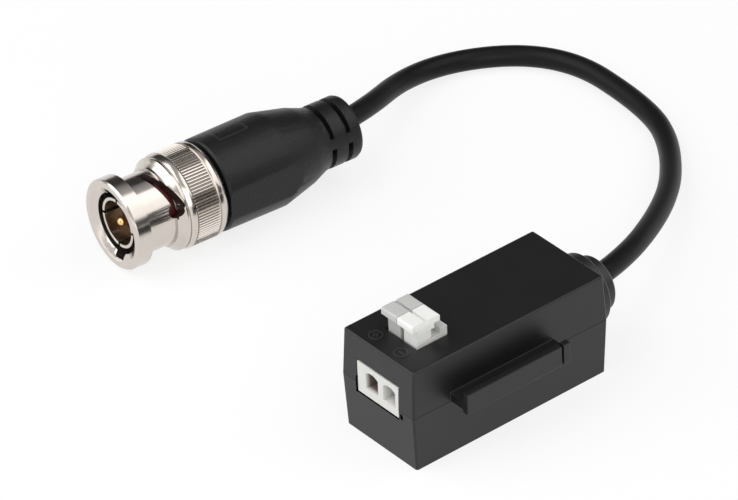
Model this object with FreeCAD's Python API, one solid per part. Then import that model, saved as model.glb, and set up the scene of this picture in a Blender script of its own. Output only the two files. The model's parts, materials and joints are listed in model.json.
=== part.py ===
"""Passive video balun: a small two-part housing with a push-button wire terminal in front,
a short lead out of its back, and a moulded bayonet plug on the lead's far end.

Millimetres, +Z up. The wire entries face -Y, the lead leaves the +Y face and the side rail
is on +X. The origin is on the floor, at the middle of the housing with its rail and gland.
"""
import math
import os

import FreeCAD
import Part
from FreeCAD import Placement, Rotation, Vector

# Housing, measured at the parting line where both halves are widest
BODY_WIDTH = 16.0
BODY_LENGTH = 36.6
BODY_HEIGHT = 17.0
PARTING_HEIGHT = 9.25
SIDE_TAPER = 0.2
END_TAPER = 0.45
WALL = 1.4
CORNER_EDGE = 0.25
CAVITY_ROUND = 0.5
TOP_EDGE = 0.2
TONGUE_HEIGHT = 0.9
TONGUE_WIDTH = 0.6
SEAT_GAP = 0.1

# Side rail on the cover, a T section with the long arm up
RAIL_REACH = 3.8
RAIL_LENGTH = 19.4
RAIL_FRONT = 6.9
RAIL_WEB = 1.5
LIP_THICKNESS = 1.1
LIP_BELOW = 0.5
LIP_HEIGHT = 3.4
RAIL_SLIT = 0.35
SLIT_FROM_END = 1.3

# Wire terminal
TERMINAL_WIDTH = 9.3
TERMINAL_HEIGHT = 5.5
TERMINAL_SILL = 7.65
TERMINAL_BACK = 10.4
TERMINAL_GAP = 0.12
ENTRY_WIDTH = 2.75
ENTRY_HEIGHT = 3.1
ENTRY_SILL = 1.4
ENTRY_FUNNEL = 0.5
ENTRY_THROAT = 2.4
ENTRY_PITCH = 3.85
ENTRY_SHIFT = 0.57
POLE_PITCH = 3.5
POST_RISE = 1.5
POST_LENGTH = 1.25
TOWER_RISE = 0.55
TOWER_SINK = 1.0
CELL_FLOOR = 1.3

# Push buttons of the terminal
BUTTON_WIDTH = 3.38
BUTTON_LENGTH = 5.15
BUTTON_HEAD = 1.1
BUTTON_NECK = 0.85
BUTTON_OVERHANG = 0.95
BUTTON_RISE = 4.05
CELL_DEPTH = 2.2
BUTTON_FRONT = 4.0
STEM_WIDTH = 2.7
STEM_LENGTH = 2.8
STEM_DEPTH = 2.9
SLIDE_GAP = 0.12
GROOVE_WIDTH = 0.5
GROOVE_DEPTH = 0.5

# Board and the parts on it
BOARD_THICKNESS = 1.0
BOARD_HEIGHT = 4.2
BOARD_GAP = 0.3
PEG_HALF = 1.1
PEG_PIN = 0.5
PEG_INSET = 1.9
CORE_RADIUS = 4.0
CORE_BORE = 2.0
CORE_HEIGHT = 3.2
WINDING_BUILD = 0.45
WINDING_SPAN = 120.0
STRIP = 0.35
STRIP_WIDTH = 2.2
PIN_WIDTH = 0.6
ARRESTER_RADIUS = 1.5
ARRESTER_LENGTH = 4.2
CHIP_LENGTH = 2.6
CHIP_WIDTH = 1.4
CHIP_HEIGHT = 0.9

# Strain relief in the back wall
GLAND_RADIUS = 5.6
GLAND_DISC = 3.1
COLLAR_RADIUS = 4.35
COLLAR_LENGTH = 2.1
GLAND_NECK = 3.4
GLAND_FLANGE = 4.4
GLAND_INNER = 1.2

# Lead
CABLE_DIAMETER = 3.4
JACKET_SIDES = 12
JACKET_INSIDE = 6.4
GLAND_RUN = 7.8
BOOT_RUN = 15.5
LEAD_RADIUS = 0.45
LEAD_SIDES = 8
LEAD_SPREAD = 0.75
LEAD_REACH = 1.6

# Bayonet plug, lengths counted from its front rim
PLUG_X = -61.3
PLUG_Y = -19.0
PLUG_YAW = 4.0
RIM_RADIUS = 7.25
RIM_LENGTH = 2.5
RIM_BEVEL = 0.3
NECK_RADIUS = 6.0
NECK_END = 7.6
NECK_STEP = 0.35
LEDGE_LENGTH = 0.4
CONE_END = 1.6
BAND_RADIUS = 7.4
BAND_WIDTH = 1.3
LINE_WIDTH = 0.22
GRIP_RADIUS = 7.65
GRIP_START = 10.5
GRIP_END = 14.5
GRIP_DEPTH = 0.2
NUT_LENGTH = 16.1
NUT_BORE = 4.9
MOUTH_RADIUS = 6.1
MOUTH_DEPTH = 0.8
TRACK_WIDTH = 2.2
TRACK_DEPTH = 0.75
TRACK_ANGLE = 100.0
TRACK_TURN = 72.0
TRACK_START = 6.05
TRACK_END = 8.25
TRACK_STEPS = 4
SLOT_WIDTH = 1.4
LOCK_RADIUS = 1.05
LOCK_ANGLE = 22.0
LOCK_BACK = 7.7
COLLAR_START = 11.2
NUT_COLLAR = 1.2
NUT_SKIRT = 6.0
RUNNING_GAP = 0.07
SLEEVE_RADIUS = 4.08
SLEEVE_WALL = 0.5
SLEEVE_RECESS = 1.0
SLEEVE_SLOT = 0.45
SLOT_LENGTH = 4.6
SLEEVE_SLOTS = 4
FLANGE_START = 8.6
FLANGE_LENGTH = 1.0
FLANGE_RADIUS = 4.82
SHAFT_RADIUS = 4.05
SHAFT_END = 17.4
STEM_RADIUS = 2.4
STEM_END = 26.0
STEM_BORE = 1.2
GASKET_LENGTH = 1.2
PIN_RADIUS = 0.68
PIN_RECESS = 1.1
PIN_END = 13.6
DIELECTRIC_START = 5.3
DIELECTRIC_END = 12.6
WASHER = 0.33
RING_LENGTH = 0.6
FERRULE_START = 26.3
FERRULE_END = 35.5
FERRULE_WALL = 0.5
JACKET_END = 27.4

# Moulded boot behind the nut
BOOT_START = 16.7
BOOT_RADIUS = 7.5
BOOT_BELLY = 7.6
BOOT_BELLY_END = 27.8
BOOT_SHOULDER = 6.25
BOOT_SHOULDER_END = 33.5
BOOT_TAIL = 5.15
BOOT_TAIL_START = 36.4
BOOT_LENGTH = 42.6
BOOT_TIP = 0.7
BOOT_FLAT = 7.15
RELIEF_FIRST = 37.1
RELIEF_PITCH = 3.0
RELIEF_WIDTH = 0.85
RELIEF_DEPTH = 1.3
RELIEF_BRIDGE = 18.5
RELIEF_ANGLE = 16.0

# Places that follow from the sizes above
front = -BODY_LENGTH / 2
back = BODY_LENGTH / 2
half_width = BODY_WIDTH / 2
cavity_half_x = half_width - SIDE_TAPER - WALL
cavity_half_y = back - END_TAPER - WALL
gland_height = PARTING_HEIGHT
gland_reach = GLAND_DISC + COLLAR_LENGTH
board_top = BOARD_HEIGHT + BOARD_THICKNESS
cell_floor = board_top + CELL_FLOOR
cable_radius = CABLE_DIAMETER / 2
origin_shift = Vector(-RAIL_REACH / 2, -gland_reach / 2, 0)
plug_height = GRIP_RADIUS
terminal_front = front + 0.12
terminal_top = TERMINAL_SILL + TERMINAL_HEIGHT
terminal_back = front + TERMINAL_BACK
button_front = front + BUTTON_FRONT
stem_front = button_front + BUTTON_OVERHANG
stem_bottom = BODY_HEIGHT - STEM_DEPTH
button_top = BODY_HEIGHT + BUTTON_RISE
pole_centres = (-POLE_PITCH / 2, POLE_PITCH / 2)
entry_centres = (ENTRY_SHIFT - ENTRY_PITCH / 2, ENTRY_SHIFT + ENTRY_PITCH / 2)
tower_front = stem_front - SLIDE_GAP
tower_half = POLE_PITCH / 2 + BUTTON_WIDTH / 2


def box(x0, x1, y0, y1, z0, z1):
    """A block between two corners."""
    return Part.makeBox(x1 - x0, y1 - y0, z1 - z0, Vector(x0, y0, z0))


def housing_corners(z):
    """The eight corners of the housing's outline at a height, drafted up and down from the parting line."""
    if z > PARTING_HEIGHT:
        share = (z - PARTING_HEIGHT) / (BODY_HEIGHT - PARTING_HEIGHT)
    else:
        share = (PARTING_HEIGHT - z) / PARTING_HEIGHT
    half_x = half_width - SIDE_TAPER * share
    half_y = back - END_TAPER * share
    corners = []
    for sx, sy in ((1, 1), (-1, 1), (-1, -1), (1, -1)):
        end = Vector(sx * (half_x - CORNER_EDGE), sy * half_y, z)
        side = Vector(sx * half_x, sy * (half_y - CORNER_EDGE), z)
        corners += [side, end] if sx == sy else [end, side]
    return corners


def tapered_block(z0, z1):
    """The housing's outside between two heights on one side of the parting line, a solid of flat faces."""
    low = housing_corners(z0)
    high = housing_corners(z1)
    under = low[::-1]
    faces = [Part.Face(Part.makePolygon(outline + outline[:1])) for outline in (under, high)]
    for i, corner in enumerate(low):
        j = (i + 1) % len(low)
        faces.append(Part.Face(Part.makePolygon([corner, low[j], high[j], high[i], corner])))
    return Part.Solid(Part.Shell(faces))


def upright_edges(shape, height):
    """The edges that run the shape's whole height."""
    return [e for e in shape.Edges if e.BoundBox.ZLength > height - 0.01]


def along_y(shape):
    """Turns a shape that was revolved about Z so that its axis runs along Y."""
    shape.rotate(Vector(0, 0, 0), Vector(1, 0, 0), -90)
    return shape


def turned(points):
    """A solid of revolution about the Y axis from its half profile of (place along Y, radius)."""
    outline = [Vector(radius, 0, place) for place, radius in points]
    outline.append(outline[0])
    face = Part.Face(Part.makePolygon(outline))
    return along_y(face.revolve(Vector(0, 0, 0), Vector(0, 0, 1), 360))


def tube(y0, y1, outer, inner):
    """A round tube along Y."""
    return turned([(y0, inner), (y0, outer), (y1, outer), (y1, inner)])


def rod(y0, y1, radius):
    """A round rod along Y."""
    return along_y(Part.makeCylinder(radius, y1 - y0, Vector(0, 0, y0)))


def plug_point(distance):
    """A point on the plug's axis, this far behind its front rim."""
    yaw = math.radians(PLUG_YAW)
    return Vector(PLUG_X + distance * math.sin(yaw), PLUG_Y + distance * math.cos(yaw), plug_height)


def on_plug(shape):
    """Moves a shape that was made along Y from the plug's rim to where the plug lies."""
    shape.Placement = Placement(plug_point(0), Rotation(Vector(0, 0, 1), -PLUG_YAW)).multiply(shape.Placement)
    return shape


# The lead's route: out of the back, down to the floor, round in a loop and up into the boot
CABLE_ROUTE = [
    Vector(0, back - JACKET_INSIDE, gland_height),
    Vector(0, back + GLAND_RUN, gland_height),
    Vector(-13.4, 49.2, 4.2),
    Vector(-26.8, 61.9, cable_radius),
    Vector(-37.3, 66.5, cable_radius),
    Vector(-58.9, 66.9, cable_radius),
    Vector(-70.7, 48.5, cable_radius),
    plug_point(JACKET_END + BOOT_RUN),
    plug_point(JACKET_END),
]


def bent_line(points):
    """Straight runs joined by arcs as large as the two runs beside each point allow, and the arcs' radii."""
    edges = []
    radii = []
    at = points[0]
    for before, corner, after in zip(points, points[1:], points[2:]):
        arriving = corner - before
        leaving = after - corner
        turn = arriving.getAngle(leaving)
        reach = 0.45 * min(arriving.Length, leaving.Length)
        radius = reach / math.tan(turn / 2)
        radii.append(round(radius, 1))
        arriving.normalize()
        leaving.normalize()
        start = corner - arriving * reach
        end = corner + leaving * reach
        inward = (leaving - arriving).normalize()
        middle = corner + inward * (radius / math.cos(turn / 2) - radius)
        edges.append(Part.LineSegment(at, start).toShape())
        edges.append(Part.Arc(start, middle, end).toShape())
        at = end
    edges.append(Part.LineSegment(at, points[-1]).toShape())
    return Part.Wire(edges), radii


def flexible(points, radius, sides):
    """A wire or lead that starts along Y, its round section drawn with flat sides to keep it light."""
    wire, radii = bent_line(points)
    turns = [2 * math.pi * (i + 0.5) / sides for i in range(sides)]
    corners = [points[0] + Vector(math.cos(a), 0, math.sin(a)) * radius for a in turns]
    section = Part.makePolygon(corners + corners[:1])
    solid = wire.makePipeShell([section], True, False)
    share = solid.Volume / (Part.Face(section).Area * wire.Length)
    print("length", round(wire.Length, 1), "radii", radii, "volume share", round(share, 4))
    return solid


def cable():
    """The black jacketed lead."""
    return flexible(CABLE_ROUTE, cable_radius, JACKET_SIDES)


def window_cut():
    """The opening in the front wall for the terminal's face."""
    half = TERMINAL_WIDTH / 2
    return box(-half, half, front - 1, 0.1 - cavity_half_y, TERMINAL_SILL, terminal_top)


def gland_cut():
    """The round hole in the back wall, half in each part of the housing."""
    return rod(cavity_half_y - 0.1, back + 1, GLAND_NECK + SEAT_GAP / 2).translate(Vector(0, 0, gland_height))


def board_posts():
    """Where the four posts under the board stand."""
    half_x = cavity_half_x - BOARD_GAP - PEG_INSET
    y_front = terminal_back + PEG_INSET - 0.4
    y_back = board_back() - PEG_INSET
    return [(sx * half_x, y) for sx in (-1, 1) for y in (y_front, y_back)]


def locating_pins():
    """The two posts, across from each other, that carry a pin through the board."""
    posts = board_posts()
    return [posts[0], posts[3]]


def board_back():
    """The board's rear edge, just before the strain relief's inner flange."""
    return cavity_half_y - GLAND_INNER - 2 * BOARD_GAP


def cavity(z0, z1, wider=0.0):
    """The straight-sided room inside the housing between two heights, or a wider outline round it."""
    half_x = cavity_half_x + wider
    half_y = cavity_half_y + wider
    room = box(-half_x, half_x, -half_y, half_y, z0, z1)
    return room.makeFillet(CAVITY_ROUND, upright_edges(room, z1 - z0))


def housing_base():
    """The lower half: a drafted tray with four board posts, its wall's inner part rising into the cover."""
    body = tapered_block(0, PARTING_HEIGHT)
    tongue_top = PARTING_HEIGHT + TONGUE_HEIGHT
    body = body.fuse(cavity(PARTING_HEIGHT - 1, tongue_top, TONGUE_WIDTH))
    body = body.cut(cavity(WALL, tongue_top + 1))
    for x, y in board_posts():
        body = body.fuse(box(x - PEG_HALF, x + PEG_HALF, y - PEG_HALF, y + PEG_HALF, WALL - 0.2, BOARD_HEIGHT))
    for x, y in locating_pins():
        body = body.fuse(Part.makeCylinder(PEG_PIN, BOARD_THICKNESS + 0.5, Vector(x, y, BOARD_HEIGHT - 0.1)))
    return body.cut(window_cut()).cut(gland_cut()).removeSplitter()


def side_rail():
    """The T-section rail on the cover's right side, slit near its rear end."""
    y0 = front + RAIL_FRONT
    y1 = y0 + RAIL_LENGTH
    outer = half_width + RAIL_REACH
    web = box(half_width - 0.6, outer - LIP_THICKNESS / 2, y0, y1, PARTING_HEIGHT, PARTING_HEIGHT + RAIL_WEB)
    lip_low = PARTING_HEIGHT - LIP_BELOW
    lip = box(outer - LIP_THICKNESS, outer, y0, y1, lip_low, lip_low + LIP_HEIGHT)
    upright = [e for e in lip.Edges if e.BoundBox.ZLength < 0.01 and e.BoundBox.XMin > outer - 0.01]
    lip = lip.makeFillet(0.15, [e for e in upright if e.BoundBox.YLength > 1])
    slit_y = y1 - SLIT_FROM_END
    slit = box(outer - LIP_THICKNESS - 0.01, outer + 0.1, slit_y - RAIL_SLIT, slit_y, lip_low - 0.1,
               lip_low + LIP_HEIGHT + 0.1)
    return web.fuse(lip.cut(slit))


def button_opening():
    """The opening in the cover's top that the terminal's tower stands in."""
    half = tower_half + TERMINAL_GAP
    y0 = tower_front - TERMINAL_GAP
    y1 = terminal_back + TERMINAL_GAP
    return box(-half, half, y0, y1, BODY_HEIGHT - WALL - 1, BODY_HEIGHT + 1)


def housing_cover():
    """The upper half: a drafted cap with the side rail, open for the terminal and its buttons."""
    body = tapered_block(PARTING_HEIGHT, BODY_HEIGHT)
    rim = [e for e in body.Edges if e.BoundBox.ZMin > BODY_HEIGHT - 0.01]
    body = body.makeChamfer(TOP_EDGE, rim)
    body = body.cut(cavity(PARTING_HEIGHT - 1, BODY_HEIGHT - WALL))
    rebate_top = PARTING_HEIGHT + TONGUE_HEIGHT + SEAT_GAP
    body = body.cut(cavity(PARTING_HEIGHT - 1, rebate_top, TONGUE_WIDTH + SEAT_GAP))
    body = body.fuse(side_rail())
    body = body.cut(window_cut()).cut(gland_cut()).cut(button_opening())
    return body.removeSplitter()


def wire_entry(x):
    """The funnel and throat that a bare wire end goes into."""
    sill = TERMINAL_SILL + ENTRY_SILL
    middle = sill + ENTRY_HEIGHT / 2
    half = ENTRY_WIDTH / 2
    mouth_top = Part.Arc(Vector(-half, 0, ENTRY_HEIGHT / 2 - 0.5), Vector(0, 0, ENTRY_HEIGHT / 2),
                         Vector(half, 0, ENTRY_HEIGHT / 2 - 0.5)).toShape()
    corners = [Vector(half, 0, ENTRY_HEIGHT / 2 - 0.5), Vector(half, 0, -ENTRY_HEIGHT / 2),
               Vector(-half, 0, -ENTRY_HEIGHT / 2), Vector(-half, 0, ENTRY_HEIGHT / 2 - 0.5)]
    mouth = Part.Wire([mouth_top] + [Part.LineSegment(a, b).toShape() for a, b in zip(corners, corners[1:])])
    small = mouth.copy()
    small.scale(ENTRY_THROAT / ENTRY_WIDTH)
    mouth.translate(Vector(x, terminal_front - 0.01, middle))
    small.translate(Vector(x, terminal_front + ENTRY_FUNNEL, middle))
    funnel = Part.makeLoft([mouth, small], True, True)
    throat = Part.Face(small).extrude(Vector(0, stem_front - terminal_front - ENTRY_FUNNEL + 0.5, 0))
    return funnel.fuse(throat)


def spring_cell(x):
    """The chamber under one button, open at the top for the button's stem."""
    half = STEM_WIDTH / 2 + SLIDE_GAP
    y0 = stem_front - SLIDE_GAP
    y1 = stem_front + STEM_LENGTH + SLIDE_GAP
    stem_way = box(x - half, x + half, y0, y1, stem_bottom - CELL_DEPTH, BODY_HEIGHT + POST_RISE + 1)
    chamber = box(x - half, x + half, y0, terminal_back - 0.9, cell_floor, stem_bottom)
    return stem_way.fuse(chamber)


def terminal_body():
    """The white block: two wire entries in front, a sunken tower round the stems, a cheek and a post."""
    half = TERMINAL_WIDTH / 2 - TERMINAL_GAP
    block = box(-half, half, terminal_front, terminal_back, TERMINAL_SILL + TERMINAL_GAP, terminal_top - TERMINAL_GAP)
    foot = box(-half, half, BOARD_GAP - cavity_half_y, terminal_back, board_top, TERMINAL_SILL + 1)
    tower_top = BODY_HEIGHT - TOWER_SINK
    tower = box(-tower_half, tower_half, tower_front, terminal_back, terminal_top - 1, tower_top)
    cheek = box(POLE_PITCH / 2, tower_half, tower_front, terminal_back, terminal_top, BODY_HEIGHT + TOWER_RISE)
    post = box(-tower_half, tower_half, terminal_back - POST_LENGTH, terminal_back, terminal_top, BODY_HEIGHT + POST_RISE)
    body = block.fuse(foot).fuse(tower).fuse(cheek).fuse(post)
    for x, entry_x in zip(pole_centres, entry_centres):
        body = body.cut(spring_cell(x)).cut(wire_entry(entry_x)).cut(contact_way(x))
    return body.removeSplitter()


def contact_way(x):
    """The slot in the block's floor that the contact's tail goes through."""
    y = contact_tail_y()
    half = PIN_WIDTH / 2 + 0.1
    return box(x - half, x + half, y - half, y + half, board_top - 0.5, cell_floor + 0.5)


def contact_tail_y():
    """How far back the contact's tail stands."""
    return terminal_back - 2.6


def contact(x):
    """The tinned strip on the chamber's floor, with an upright that the wire is clamped to and a tail in the board."""
    half = STRIP_WIDTH / 2
    y0 = stem_front + 0.3
    strip = box(x - half, x + half, y0, terminal_back - 1.0, cell_floor, cell_floor + STRIP)
    rise = box(x - half, x + half, y0, y0 + STRIP, cell_floor, TERMINAL_SILL + ENTRY_SILL + 0.35)
    y = contact_tail_y()
    tail = box(x - PIN_WIDTH / 2, x + PIN_WIDTH / 2, y - PIN_WIDTH / 2, y + PIN_WIDTH / 2,
               BOARD_HEIGHT - 0.9, cell_floor + STRIP)
    return strip.fuse(rise).fuse(tail).removeSplitter()


def strip_bend(points, x, width, thickness):
    """A flat spring strip that follows points in the Y-Z plane, round at every bend."""
    strip = None
    for (y0, z0), (y1, z1) in zip(points, points[1:]):
        angle = math.degrees(math.atan2(z1 - z0, y1 - y0))
        length = math.hypot(y1 - y0, z1 - z0)
        leg = Part.makeBox(width, length, thickness, Vector(0, 0, -thickness / 2))
        leg.Placement = Placement(Vector(x - width / 2, y0, z0), Rotation(Vector(1, 0, 0), angle)).multiply(leg.Placement)
        strip = leg if strip is None else strip.fuse(leg)
    for y, z in points[1:-1]:
        strip = strip.fuse(Part.makeCylinder(thickness / 2, width, Vector(x - width / 2, y, z), Vector(1, 0, 0)))
    return strip.removeSplitter()


def clamp_spring(x):
    """The leaf that presses the wire down; the button's stem rests on its upper leg."""
    foot = cell_floor + STRIP + 0.2
    top = stem_bottom - 0.22
    y_back = terminal_back - 1.35
    y_front = stem_front + 0.9
    points = [(y_front + 0.4, foot), (y_back - 0.5, foot), (y_back, foot + 0.5), (y_back, top - 0.9),
              (y_back - 0.9, top), (y_front, top), (y_front + 0.5, top - 2.4)]
    return strip_bend(points, x, STRIP_WIDTH, STRIP * 0.8)


def button(x):
    """One push button: a grooved head that overhangs in front, and a stem into the terminal."""
    half = BUTTON_WIDTH / 2
    y1 = button_front + BUTTON_LENGTH
    head = box(x - half, x + half, button_front, y1, button_top - BUTTON_HEAD, button_top)
    rounded = [e for e in head.Edges if e.BoundBox.ZMin > button_top - 0.01 and e.BoundBox.YLength < 0.01]
    head = head.makeFillet(0.3, rounded)
    head_bottom = button_top - BUTTON_HEAD
    neck = box(x - half + 0.04, x + half - 0.04, stem_front, stem_front + STEM_LENGTH + 0.4,
               head_bottom - BUTTON_NECK, head_bottom)
    stem = box(x - STEM_WIDTH / 2, x + STEM_WIDTH / 2, stem_front, stem_front + STEM_LENGTH,
               stem_bottom, button_top - BUTTON_HEAD / 2)
    middle = (button_front + y1) / 2
    groove = box(x - half - 0.1, x + half + 0.1, middle - GROOVE_WIDTH / 2, middle + GROOVE_WIDTH / 2,
                 button_top - GROOVE_DEPTH, button_top + 0.1)
    return head.fuse(neck).fuse(stem).cut(groove).removeSplitter()


def circuit_board():
    """The board on the four posts, with holes for the two pins and the contacts' tails."""
    half = cavity_half_x - BOARD_GAP
    board = box(-half, half, BOARD_GAP - cavity_half_y, board_back(), BOARD_HEIGHT, board_top)
    for x, y in locating_pins():
        board = board.cut(Part.makeCylinder(PEG_PIN + 0.06, 3, Vector(x, y, BOARD_HEIGHT - 1)))
    for x in pole_centres:
        y = contact_tail_y()
        half_pin = PIN_WIDTH / 2 + 0.03
        board = board.cut(box(x - half_pin, x + half_pin, y - half_pin, y + half_pin, BOARD_HEIGHT - 1, board_top + 1))
    return board.removeSplitter()


def core_middle():
    """The ring core's middle, behind the terminal."""
    return Vector(0, terminal_back + 0.6 + CORE_RADIUS + WINDING_BUILD, board_top + WINDING_BUILD)


def ring(outer, inner, z0, z1):
    """A flat ring about Z."""
    return Part.makeCylinder(outer, z1 - z0, Vector(0, 0, z0)).cut(Part.makeCylinder(inner, z1 - z0, Vector(0, 0, z0)))


def ferrite_core():
    """The ferrite ring of the transformer."""
    core = ring(CORE_RADIUS, CORE_BORE, 0, CORE_HEIGHT)
    core.translate(core_middle())
    return core


def winding(side):
    """Enamelled wire wound round one side of the core, drawn as a close sleeve."""
    build = WINDING_BUILD
    sleeve = ring(CORE_RADIUS + build, CORE_BORE - build, -build, CORE_HEIGHT + build)
    sleeve = sleeve.cut(ring(CORE_RADIUS, CORE_BORE, 0, CORE_HEIGHT))
    reach = CORE_RADIUS + 2
    sector = Part.makeCylinder(reach, CORE_HEIGHT + 4, Vector(0, 0, -2), Vector(0, 0, 1), WINDING_SPAN)
    sector.rotate(Vector(0, 0, 0), Vector(0, 0, 1), -WINDING_SPAN / 2 + (0 if side > 0 else 180))
    wound = sleeve.common(sector)
    wound.translate(core_middle())
    return wound


def components_y():
    """Where the small parts stand, behind the core."""
    return core_middle().y + CORE_RADIUS + WINDING_BUILD + 0.6 + ARRESTER_RADIUS


def surge_arrester():
    """The gas-filled surge arrester, lying across the board."""
    half = ARRESTER_LENGTH / 2
    body = rod(-half, half, ARRESTER_RADIUS)
    body.rotate(Vector(0, 0, 0), Vector(0, 0, 1), 90)
    body.translate(Vector(-half_width / 4, components_y(), board_top + ARRESTER_RADIUS))
    return body


def chip(x, y):
    """A small soldered chip part."""
    return box(x - CHIP_WIDTH / 2, x + CHIP_WIDTH / 2, y - CHIP_LENGTH / 2, y + CHIP_LENGTH / 2,
               board_top, board_top + CHIP_HEIGHT)


def cable_lead(side):
    """One conductor of the lead, bent down from the jacket's end to its pad on the board."""
    x = side * LEAD_SPREAD
    end = CABLE_ROUTE[0]
    knee_y = end.y - LEAD_REACH
    points = [Vector(x, end.y, end.z), Vector(x, knee_y, end.z), Vector(x, knee_y - 0.4, board_top)]
    return flexible(points, LEAD_RADIUS, LEAD_SIDES)


def cable_gland(lead):
    """The stepped strain relief held between the two halves of the housing."""
    inside = cavity_half_y
    points = [
        (inside - GLAND_INNER, 0), (inside - GLAND_INNER, GLAND_FLANGE), (inside - 0.02, GLAND_FLANGE),
        (inside - 0.02, GLAND_NECK), (back, GLAND_NECK), (back, GLAND_RADIUS),
        (back + GLAND_DISC - 0.4, GLAND_RADIUS), (back + GLAND_DISC, GLAND_RADIUS - 0.4),
        (back + GLAND_DISC, COLLAR_RADIUS),
        (back + gland_reach - 0.5, COLLAR_RADIUS), (back + gland_reach, COLLAR_RADIUS - 0.5),
        (back + gland_reach, 0),
    ]
    body = turned(points)
    body.translate(Vector(0, 0, gland_height))
    return body.cut(lead)


def nut_profile():
    """Half section of the coupling nut, from the front rim round the outside to the back and in again."""
    shaft_hole = SHAFT_RADIUS + RUNNING_GAP
    ledge = NECK_RADIUS + NECK_STEP
    root = GRIP_RADIUS - GRIP_DEPTH
    band_root = BAND_RADIUS - GRIP_DEPTH
    line = GRIP_START - BAND_WIDTH
    return [
        (0.0, MOUTH_RADIUS), (0.0, RIM_RADIUS - RIM_BEVEL), (RIM_BEVEL, RIM_RADIUS),
        (RIM_LENGTH, RIM_RADIUS), (RIM_LENGTH, NECK_RADIUS), (NECK_END, NECK_RADIUS), (NECK_END, ledge),
        (NECK_END + LEDGE_LENGTH, ledge), (GRIP_START - CONE_END, BAND_RADIUS),
        (line, BAND_RADIUS), (line, band_root), (line + LINE_WIDTH, band_root), (line + LINE_WIDTH, BAND_RADIUS),
        (GRIP_START - LINE_WIDTH, GRIP_RADIUS), (GRIP_START - LINE_WIDTH, root),
        (GRIP_END + LINE_WIDTH, root), (GRIP_END + LINE_WIDTH, GRIP_RADIUS), (NUT_LENGTH - 0.7, GRIP_RADIUS),
        (NUT_LENGTH, GRIP_RADIUS - 0.4), (NUT_LENGTH, NUT_SKIRT), (COLLAR_START + NUT_COLLAR, NUT_SKIRT),
        (COLLAR_START + NUT_COLLAR, shaft_hole), (COLLAR_START, shaft_hole), (COLLAR_START, NUT_BORE),
        (MOUTH_DEPTH, NUT_BORE),
    ]


def at_angle(angle, place, radius):
    """A point on a cylinder about the plug's axis, the angle counted from +X up to +Z."""
    return Vector(radius * math.cos(math.radians(angle)), place, radius * math.sin(math.radians(angle)))


def track_cut(start_angle):
    """One bayonet track: a groove in from the rim, then a slot through the wall that winds back to a round seat."""
    depth = NUT_BORE + TRACK_DEPTH
    entry = box(-TRACK_WIDTH / 2, TRACK_WIDTH / 2, -0.1, TRACK_START, NUT_BORE - 0.8, depth)
    entry.rotate(Vector(0, 0, 0), Vector(0, 1, 0), 90 - start_angle)
    steps = TRACK_STEPS
    sections = []
    for i in range(steps + 1):
        share = i / steps
        angle = start_angle - TRACK_TURN * share
        place = TRACK_START + (TRACK_END - TRACK_START) * share
        corners = [(place - SLOT_WIDTH / 2, NUT_BORE - 0.6), (place + SLOT_WIDTH / 2, NUT_BORE - 0.6),
                   (place + SLOT_WIDTH / 2, GRIP_RADIUS + 0.8), (place - SLOT_WIDTH / 2, GRIP_RADIUS + 0.8)]
        outline = [at_angle(angle, s, r) for s, r in corners]
        sections.append(Part.makePolygon(outline + outline[:1]))
    slot = Part.makeLoft(sections, True, True)
    lock_angle = start_angle - TRACK_ANGLE + LOCK_ANGLE
    through = GRIP_RADIUS - NUT_BORE + 2
    seat = Part.makeCylinder(LOCK_RADIUS, through, at_angle(lock_angle, LOCK_BACK, NUT_BORE - 0.8),
                             at_angle(lock_angle, 0, 1))
    bridge_from = at_angle(start_angle - TRACK_TURN, TRACK_END, NUT_BORE - 0.8)
    bridge = Part.makeCylinder(SLOT_WIDTH / 2, through, bridge_from, at_angle(start_angle - TRACK_TURN, 0, 1))
    return [entry, slot, seat, bridge]


def coupling_nut():
    """The knurled bayonet nut that turns on the plug."""
    nut = turned(nut_profile())
    for start_angle in (TRACK_ANGLE, TRACK_ANGLE + 180):
        for cutter in track_cut(start_angle):
            nut = nut.cut(cutter)
    return on_plug(nut)


def contact_sleeve():
    """The outer contact, a thin tube slit into springy fingers."""
    inner = SLEEVE_RADIUS - SLEEVE_WALL
    sleeve = tube(SLEEVE_RECESS, FLANGE_START, SLEEVE_RADIUS, inner)
    half = SLEEVE_SLOT / 2
    for i in range(SLEEVE_SLOTS):
        slit = box(-half, half, SLEEVE_RECESS - 0.1, SLEEVE_RECESS + SLOT_LENGTH, inner - 0.5, SLEEVE_RADIUS + 0.5)
        slit.rotate(Vector(0, 0, 0), Vector(0, 1, 0), i * 360 / SLEEVE_SLOTS)
        sleeve = sleeve.cut(slit)
    return on_plug(sleeve)


def gasket():
    """The red sealing ring round the root of the contact sleeve."""
    return on_plug(tube(FLANGE_START - GASKET_LENGTH, FLANGE_START, FLANGE_RADIUS - 0.1, SLEEVE_RADIUS))


def plug_body():
    """The turned body: flange, shaft that carries the nut, and a stem for the ferrule."""
    bore = SLEEVE_RADIUS - SLEEVE_WALL
    flange_end = FLANGE_START + FLANGE_LENGTH
    ring_start = COLLAR_START + NUT_COLLAR + 0.1
    body = turned([
        (FLANGE_START, bore), (FLANGE_START, FLANGE_RADIUS), (flange_end, FLANGE_RADIUS),
        (flange_end, SHAFT_RADIUS), (ring_start, SHAFT_RADIUS), (ring_start, SHAFT_RADIUS - 0.3),
        (ring_start + RING_LENGTH, SHAFT_RADIUS - 0.3), (ring_start + RING_LENGTH, SHAFT_RADIUS),
        (SHAFT_END, SHAFT_RADIUS), (SHAFT_END, STEM_RADIUS), (STEM_END, STEM_RADIUS), (STEM_END, STEM_BORE),
        (DIELECTRIC_END, STEM_BORE), (DIELECTRIC_END, bore),
    ])
    return on_plug(body)


def dielectric():
    """The insulating bead that holds the centre pin."""
    return on_plug(tube(DIELECTRIC_START, DIELECTRIC_END, SLEEVE_RADIUS - SLEEVE_WALL, PIN_RADIUS))


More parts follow.
